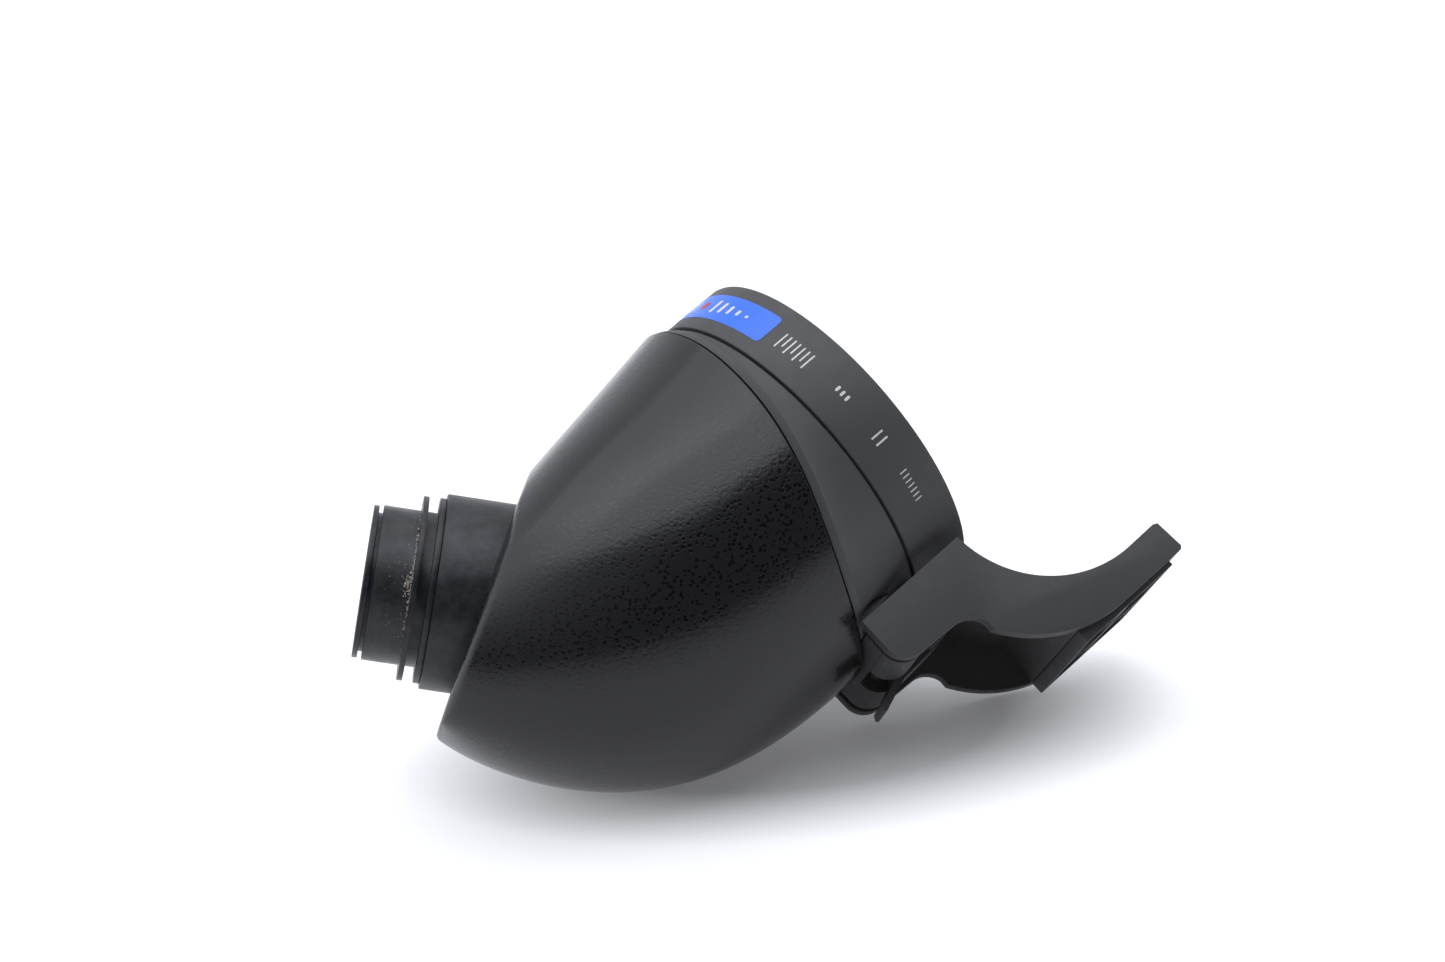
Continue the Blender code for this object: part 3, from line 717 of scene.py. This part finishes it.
def build_eyepiece():
    base = lathe(BASE_PROFILE, 160, 0.2)
    bmesh.ops.transform(base, matrix=EYE, verts=base.verts)
    mesh = to_mesh(base, "base")
    finish_piece("eyepiece_base_skin", mesh, ANODISED, "body", ("eyepiece_base",))
    barrel = lathe(BARREL_PROFILE, 160, 0.12)
    bmesh.ops.transform(barrel, matrix=EYE, verts=barrel.verts)
    mesh = to_mesh(barrel, "barrel")
    finish_piece("eyepiece_barrel_skin", mesh, ANODISED, "body", ("eyepiece_barrel",))


def build_glue():
    """Dried glue left along the wide flange where the eyecup sat."""
    rng = random.Random(7)
    bm = bmesh.new()

    def flake(along, radius, angle, size, flat):
        made = bmesh.ops.create_icosphere(bm, subdivisions=2, radius=size * MM)["verts"]
        seed = Vector((rng.random(), rng.random(), rng.random())) * 50
        for v in made:
            d = v.co.normalized()
            wave = math.sin(d.dot(seed)) * 0.3 + math.sin(d.yzx.dot(seed) * 1.7) * 0.22
            v.co *= 1 + wave
            v.co.x *= 0.55 + 0.6 * flat
            v.co.z *= 0.35
        spin = Matrix.Rotation(rng.uniform(0, math.pi), 4, "Z")
        stand = Matrix.Rotation(angle, 4, "X") @ Matrix.Translation((along * MM, 0, radius * MM))
        bmesh.ops.transform(bm, matrix=EYE @ stand @ spin, verts=made)

    on_tube = BARREL_R + 0.05
    for _ in range(260):
        angle = math.radians(rng.gauss(84, 24))
        along = FLANGE_OUT + 0.05 + abs(rng.gauss(0, 0.16))
        flake(along, on_tube + rng.uniform(0, 0.4), angle, rng.uniform(0.04, 0.14), rng.random())
    for _ in range(60):
        angle = math.radians(rng.gauss(76, 3.6))
        along = FLANGE_OUT + 0.3 + abs(rng.gauss(0, 0.6))
        flake(along, on_tube + rng.uniform(0, 0.25), angle, rng.uniform(0.05, 0.20), rng.random())
    for _ in range(70):
        angle = math.radians(rng.uniform(20, 165))
        along = FLANGE_OUT + 0.8 + rng.expovariate(0.8)
        flake(along, BARREL_R, angle, rng.uniform(0.03, 0.08), rng.random())
    finish_piece("glue_residue", to_mesh(bm, "glue"), GLUE, "body", (), 60)


# ---------------------------------------------------------------- mount ring

RING_PROFILE = (
    (-2.4, 24.5),
    (-2.4, 29.4),
    (0, 29.4),
    (0, RING_R),
    (-12.1, RING_R),
    (-12.1, 30.2),
    (-9.0, 30.2),
    (-9.0, 24.5),
)
LOCK_PIN_Y, PIN_POCKET_R = 26.6, 1.7
BUTTON_ANGLE, BUTTON_X, BUTTON_WELL_R = 20.0, -6.4, 3.0
SPRING_X = (-8.0, -5.1)
SPRING_R, SPRING_WIRE_R, SPRING_TURNS = 1.1, 0.15, 3


def build_ring():
    mesh = to_mesh(lathe(RING_PROFILE, 180, 0.45), "ring")
    turn = Matrix.Rotation(math.radians(BUTTON_ANGLE), 4, "X") @ Matrix.Rotation(math.radians(90), 4, "Z")
    well = rod_mesh(26.3, 36.0, BUTTON_WELL_R, Matrix.Translation((BUTTON_X * MM, 0, 0)) @ turn)
    pocket = rod_mesh(-8.5, 1.0, PIN_POCKET_R, Matrix.Translation((0, LOCK_PIN_Y * MM, 0)))
    mesh = carve(mesh, [well, pocket])
    finish_piece("mount_ring_skin", mesh, SATIN, "body", ("mount_ring",))


def build_lock_spring():
    """The coil behind the lock pin."""
    steps = 36 * SPRING_TURNS
    rows = []
    for i in range(steps + 1):
        turn = 2 * math.pi * SPRING_TURNS * i / steps
        x = SPRING_X[0] + (SPRING_X[1] - SPRING_X[0]) * i / steps
        row = []
        for k in range(12):
            t = 2 * math.pi * k / 12
            reach = SPRING_R + SPRING_WIRE_R * math.cos(t)
            y, z = LOCK_PIN_Y + reach * math.cos(turn), reach * math.sin(turn)
            row.append((x + SPRING_WIRE_R * math.sin(t), y, z))
        rows.append(row)
    mesh = to_mesh(strip(rows, "caps"), "lock_spring")
    spring = finish_piece("lock_spring_coil", mesh, STEEL, "body", ("lock_spring",))
    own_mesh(spring)


# ---------------------------------------------------------------- ring marks

# Degrees for each millimetre round the ring
DEG = 180 / (math.pi * RING_R)

def rim(layer):
    """The points round the edge of a patch that is given as rows."""
    first, last = layer[0], layer[-1]
    return [row[0] for row in layer] + last[1:] + [row[-1] for row in layer[-2::-1]] + first[-2:0:-1]


def ring_decal(name, shapes, lift, mat, depth=0.05, stands_for=()):
    """Thin printed shapes on the ring: each shape is a list of rows of (angle, x) points."""
    bm = bmesh.new()
    for rows in shapes:
        layers = []
        for radius in (RING_R + lift, RING_R - depth):
            layer = []
            for row in rows:
                points = []
                for angle, x in row:
                    t = math.radians(angle)
                    y, z = radius * math.cos(t), radius * math.sin(t)
                    points.append(bm.verts.new(Vector((x, y, z)) * MM))
                layer.append(points)
            layers.append(layer)
        for layer in layers:
            for a, b in zip(layer, layer[1:]):
                for i in range(len(a) - 1):
                    bm.faces.new((a[i], a[i + 1], b[i + 1], b[i]))
        upper, lower = map(rim, layers)
        for i in range(len(upper)):
            j = (i + 1) % len(upper)
            bm.faces.new((upper[i], upper[j], lower[j], lower[i]))
    return finish_piece(name, to_mesh(bm, name), mat, "body", stands_for)


def bar(a0, a1, x0, x1, corner=0.0):
    """A rounded rectangle as rows across the ring, angles in degrees and stations in millimetres."""
    rows = []
    length = (a1 - a0) / DEG
    steps = max(2, int(length / 1.2))
    round_end = {corner * (1 - math.cos(k * math.pi / 8)) for k in range(5)}
    stops = {0.0, length} | round_end | {length - s for s in round_end}
    stops |= {length * k / steps for k in range(1, steps)}
    for s in sorted(stops):
        gap = min(s, length - s)
        inset = corner - math.sqrt(max(0.0, corner**2 - (corner - gap) ** 2)) if gap < corner else 0.0
        angle = a0 + s * DEG
        rows.append([(angle, x0 - inset), (angle, (x0 + x1) / 2), (angle, x1 + inset)])
    return rows


def build_marks():
    film = bar(76.0, 149.6, -2.8, -9.2, 0.9)
    ring_decal("label_film", [film], 0.05, LABEL, 0.3, ("ring_label",))
    emblem = [bar(82 + 4.2 * k, 83.4 + 4.2 * k, -4.3, -7.7, 0.3) for k in range(7)]
    emblem += [bar(121 + 4.2 * k, 122.4 + 4.2 * k, -4.3 - 0.35 * k, -7.7 + 0.35 * k, 0.3) for k in range(5)]
    ring_decal("label_bars", emblem, 0.075, WHITE_PRINT, -0.02)
    ring_decal("label_bead", [bar(113.0, 116.4, -5.0, -7.0, 0.9)], 0.075, RED_PRINT, -0.02)
    ticks = [bar(154.5 + 1.9 * k, 155.0 + 1.9 * k, -4.6, -7.2 if k % 2 else -8.0, 0.12) for k in range(7)]
    ticks += [bar(178.0 + 2.0 * k, 178.9 + 2.0 * k, -5.4, -6.6, 0.25) for k in range(3)]
    ticks += [bar(196.0, 196.6, -4.8, -7.4, 0.12), bar(198.4, 199.0, -4.8, -7.4, 0.12)]
    ticks += [bar(210.0 + 1.7 * k, 210.35 + 1.7 * k, -5.3, -6.8, 0.08) for k in range(7)]
    ring_decal("index_ticks", ticks, 0.03, WHITE_PRINT, -0.005)


# ---------------------------------------------------------------- support arm and hinge


def arm_outline():
    toe = [(TOE_X - 1.2, TOE_TOP + 0.05), (TOE_X - 0.35, TOE_TOP - 0.35)]
    toe += [(TOE_X, TOE_BOTTOM + 0.5), (TOE_X - 0.5, TOE_BOTTOM)]
    cradle = arc(CRADLE, CRADLE_R, 182, 270, 44)
    sole = arc(SOLE_CURVE, SOLE_CURVE_R, 270, 212, 30)
    heel_turn = arc((-14.6, -45.5), 4.3, 12, 88, 12)
    heel = arc(HINGE, KNUCKLE_R + 0.1, 270, 180, 14)
    plate_top = [(PLATE_X[0], PLATE_Z), (PLATE_X[1], PLATE_Z)]
    return plate_top + cradle + toe + sole + heel_turn + heel


def build_arm():
    inner = ARM_HALF_WIDTH - ARM_WALL
    under = CRADLE_R + WEB
    bay = arc(CRADLE, under, 175, 226, 26)
    last = bay[-1][0]
    cutters = [
        prism_mesh([(-60, -70), (-60, -25)] + bay + [(last, -70)], -inner, inner),
        box_mesh((-10, -inner, -34.6), (12, inner, -25)),
    ]
    for start, end in ((229, 253), (256, 270)):
        roof = arc(CRADLE, under, start, end, 14)
        if end == 270:
            roof.append((TOE_X - 2.2, CRADLE[1] - under))
        outline = [(roof[0][0], -70)] + roof + [(roof[-1][0], -70)]
        cutters += [prism_mesh(outline, *sides) for sides in ((-inner, -RIB_HALF), (RIB_HALF, inner))]
    cutters.append(box_mesh((last - 0.1, -inner, -60), (TOE_X - 2.1, inner, TOE_BOTTOM + 1.6)))
    cutters.append(rod_mesh(-PIN_HOLE_END, PIN_HOLE_END, PIN_HOLE_R, across(*HINGE)))
    mesh = prism_mesh(arm_outline(), -ARM_HALF_WIDTH, ARM_HALF_WIDTH)
    mesh = carve(mesh, cutters, bevel=0.3, segments=3)
    finish_piece("support_arm_skin", mesh, PLASTIC, "arm", ("support_arm",))


def build_foot():
    """The sole: a shallow tray with ribs."""
    half = ARM_HALF_WIDTH - ARM_WALL - 0.05
    low = TOE_BOTTOM - 0.9
    heel = arc(CRADLE, CRADLE_R + WEB, 175, 226, 10)[-1][0]
    mesh = box_mesh((heel, -half, low), (TOE_X - 2.5, half, low + 2.5))
    pockets = []
    for start, end in ((heel + 1.1, 11.0), (12.0, TOE_X - 3.6)):
        for left, right in ((-POCKET_END, -POCKET_START), (POCKET_START, POCKET_END)):
            pockets.append(box_mesh((start, left, low - 1), (end, right, low + 1.5)))
    mesh = carve(mesh, pockets, bevel=0.12)
    finish_piece("foot_plate_skin", mesh, PLASTIC, "arm", ("foot_plate",))


# ---------------------------------------------------------------- stage, light, camera

# A light tent, bright all round, with a dark opening towards the camera that is paler at its upper
# left, and with a dimmer back. Each pair is in degrees and says where a change starts and ends: left,
# right and side in azimuth from -Y towards +X, bottom, top and rise in elevation
TENT_LEVEL = 2.8
BACK_LEVEL = 0.95
OPENING_LEVEL = 0.10
OPENING_LEFT, OPENING_RIGHT = (-112, -57), (72, 110)
OPENING_BOTTOM, OPENING_TOP = (-30, -20), (49, 55)
VEIL_SIDE, VEIL_RISE, VEIL = (-90, 20), (-5, 50), 0.65
BACK_SIDE, BACK_TOP = (60, 150), (50, 104)
# The floor glows, painted light: its glow is low at the object's foot, a painted shadow there, and rises
# outwards, over distances in metres
GLOW_NEAR, GLOW_FAR = 0.14, 0.55
GLOW_REACH = (0.024, 0.043)
GLOW_STRETCH = 0.6
# Where the pale paper takes over from the dark floor in front, in metres along Y
PAPER_EDGE = (-0.42, -0.10)
SOFTBOX_PLACE, SOFTBOX_AIM = (-0.1, 0.2, 0.85), (0, 0, 0)
SOFTBOX_SIZE, SOFTBOX_WATTS = (1.0, 0.8), 2.0


def build_stage():
    bm = bmesh.new()
    bmesh.ops.create_grid(bm, x_segments=1, y_segments=1, size=3.0)
    mesh = to_mesh(bm, "floor")
    n = Nodes("pale_floor_painted_glow")
    n.set(Metallic=0.0, Emission_Color=(0.95, 0.96, 1.0, 1.0))
    paper = n.mix(n.noise(3, 2), (0.45, 0.45, 0.453), (0.47, 0.47, 0.473))
    place = n.new("ShaderNodeSeparateXYZ")
    n.link(n.object, place.inputs["Vector"])
    wide = n.math("MULTIPLY", place.outputs["X"], GLOW_STRETCH)
    wide_sq = n.math("POWER", n.math("ABSOLUTE", wide), 2.0)
    deep_sq = n.math("POWER", n.math("ABSOLUTE", place.outputs["Y"]), 2.0)
    reach = n.math("SQRT", n.math("ADD", wide_sq, deep_sq))
    # Painted light: the floor glows, dimmer round the object's foot as a painted shadow and brighter
    # further out
    n.link(n.ramp(reach, *GLOW_REACH, GLOW_NEAR, GLOW_FAR), n.shader.inputs["Emission Strength"])
    n.color(n.mix(n.ramp(place.outputs["Y"], *PAPER_EDGE), (0.06, 0.06, 0.062), paper))
    n.roughness(n.ramp(n.noise(40, 2), 0.3, 0.7, 0.55, 0.65))
    mesh.materials.append(n.mat)
    floor = bpy.data.objects.new("floor", mesh)
    bpy.context.scene.collection.objects.link(floor)


def area_light(name, place, target, size, power):
    light = bpy.data.lights.new(name, "AREA")
    light.shape = "RECTANGLE"
    light.size, light.size_y = size
    light.energy = power
    obj = bpy.data.objects.new(name, light)
    obj.location = place
    obj.rotation_euler = (Vector(target) - Vector(place)).to_track_quat("-Z", "Y").to_euler()
    bpy.context.scene.collection.objects.link(obj)


def build_light():
    world = bpy.data.worlds.new("light_tent")
    world.use_nodes = True
    tree = world.node_tree

    def node(kind, operation=None, inputs=(), **settings):
        made = tree.nodes.new(kind)
        if operation:
            made.operation = operation
        for key, value in settings.items():
            setattr(made, key, value)
        for socket, value in zip(made.inputs, inputs):
            if isinstance(value, (int, float)):
                socket.default_value = value
            elif value is not None:
                tree.links.new(value, socket)
        return made

    def calc(operation, *values):
        return node("ShaderNodeMath", operation, values).outputs[0]

    def step(value, edge, before, after):
        low, high = map(math.radians, edge)
        ranges = (value, low, high, before, after)
        return node("ShaderNodeMapRange", None, ranges, interpolation_type="SMOOTHSTEP").outputs[0]

    view = node("ShaderNodeTexCoord").outputs["Generated"]
    way = node("ShaderNodeSeparateXYZ", inputs=(view,)).outputs
    turn = calc("ARCTAN2", way["X"], calc("MULTIPLY", way["Y"], -1.0))
    tilt = calc("ARCSINE", way["Z"])
    dark = calc("MULTIPLY", step(turn, OPENING_LEFT, 0.0, 1.0), step(turn, OPENING_RIGHT, 1.0, 0.0))
    dark = calc("MULTIPLY", dark, step(tilt, OPENING_BOTTOM, 0.0, 1.0))
    dark = calc("MULTIPLY", dark, step(tilt, OPENING_TOP, 1.0, 0.0))
    veil = calc("MULTIPLY", step(turn, VEIL_SIDE, VEIL, 0.0), step(tilt, VEIL_RISE, 0.0, 1.0))
    dark = calc("MULTIPLY", dark, calc("SUBTRACT", 1.0, veil))
    away = calc("ABSOLUTE", turn)
    back = calc("MULTIPLY", step(away, BACK_SIDE, 0.0, 1.0), step(tilt, BACK_TOP, 1.0, 0.0))
    wall = node("ShaderNodeMapRange", None, (back, 0.0, 1.0, TENT_LEVEL, BACK_LEVEL)).outputs[0]
    level = node("ShaderNodeMapRange", None, (dark, 0.0, 1.0, wall, OPENING_LEVEL)).outputs[0]
    background = tree.nodes["Background"]
    background.inputs["Color"].default_value = (0.91, 0.935, 1.0, 1.0)
    tree.links.new(level, background.inputs["Strength"])
    bpy.context.scene.world = world
    area_light("softbox_top", SOFTBOX_PLACE, SOFTBOX_AIM, SOFTBOX_SIZE, SOFTBOX_WATTS)


# Camera in the optical frame, in millimetres
CAMERA_PLACE = (-217.31, -582.34, -77.25)
CAMERA_AIM = (-27.63, -18.90, 3.73)
CAMERA_UP = (0.6162, -0.3114, 0.7234)
CAMERA_LENS = 87.2


def build_camera():
    place = Vector(CAMERA_PLACE) * MM
    back = (place - Vector(CAMERA_AIM) * MM).normalized()
    right = Vector(CAMERA_UP).cross(back).normalized()
    axes = Matrix((right, back.cross(right), back)).transposed()
    camera = bpy.data.objects.new("camera", bpy.data.cameras.new("camera"))
    camera.data.lens = CAMERA_LENS
    camera.data.sensor_width = 36.0
    camera.data.clip_start = 0.01
    camera.matrix_world = REST @ Matrix.Translation(place) @ axes.to_4x4()
    bpy.context.scene.collection.objects.link(camera)
    bpy.context.scene.camera = camera


build_rear_shell()
build_housing()
build_ring()
build_lock_spring()
build_eyepiece()
build_glue()
build_marks()
build_arm()
build_foot()
build_stage()
build_light()
build_camera()
bpy.context.scene.view_settings.view_transform = "Standard"
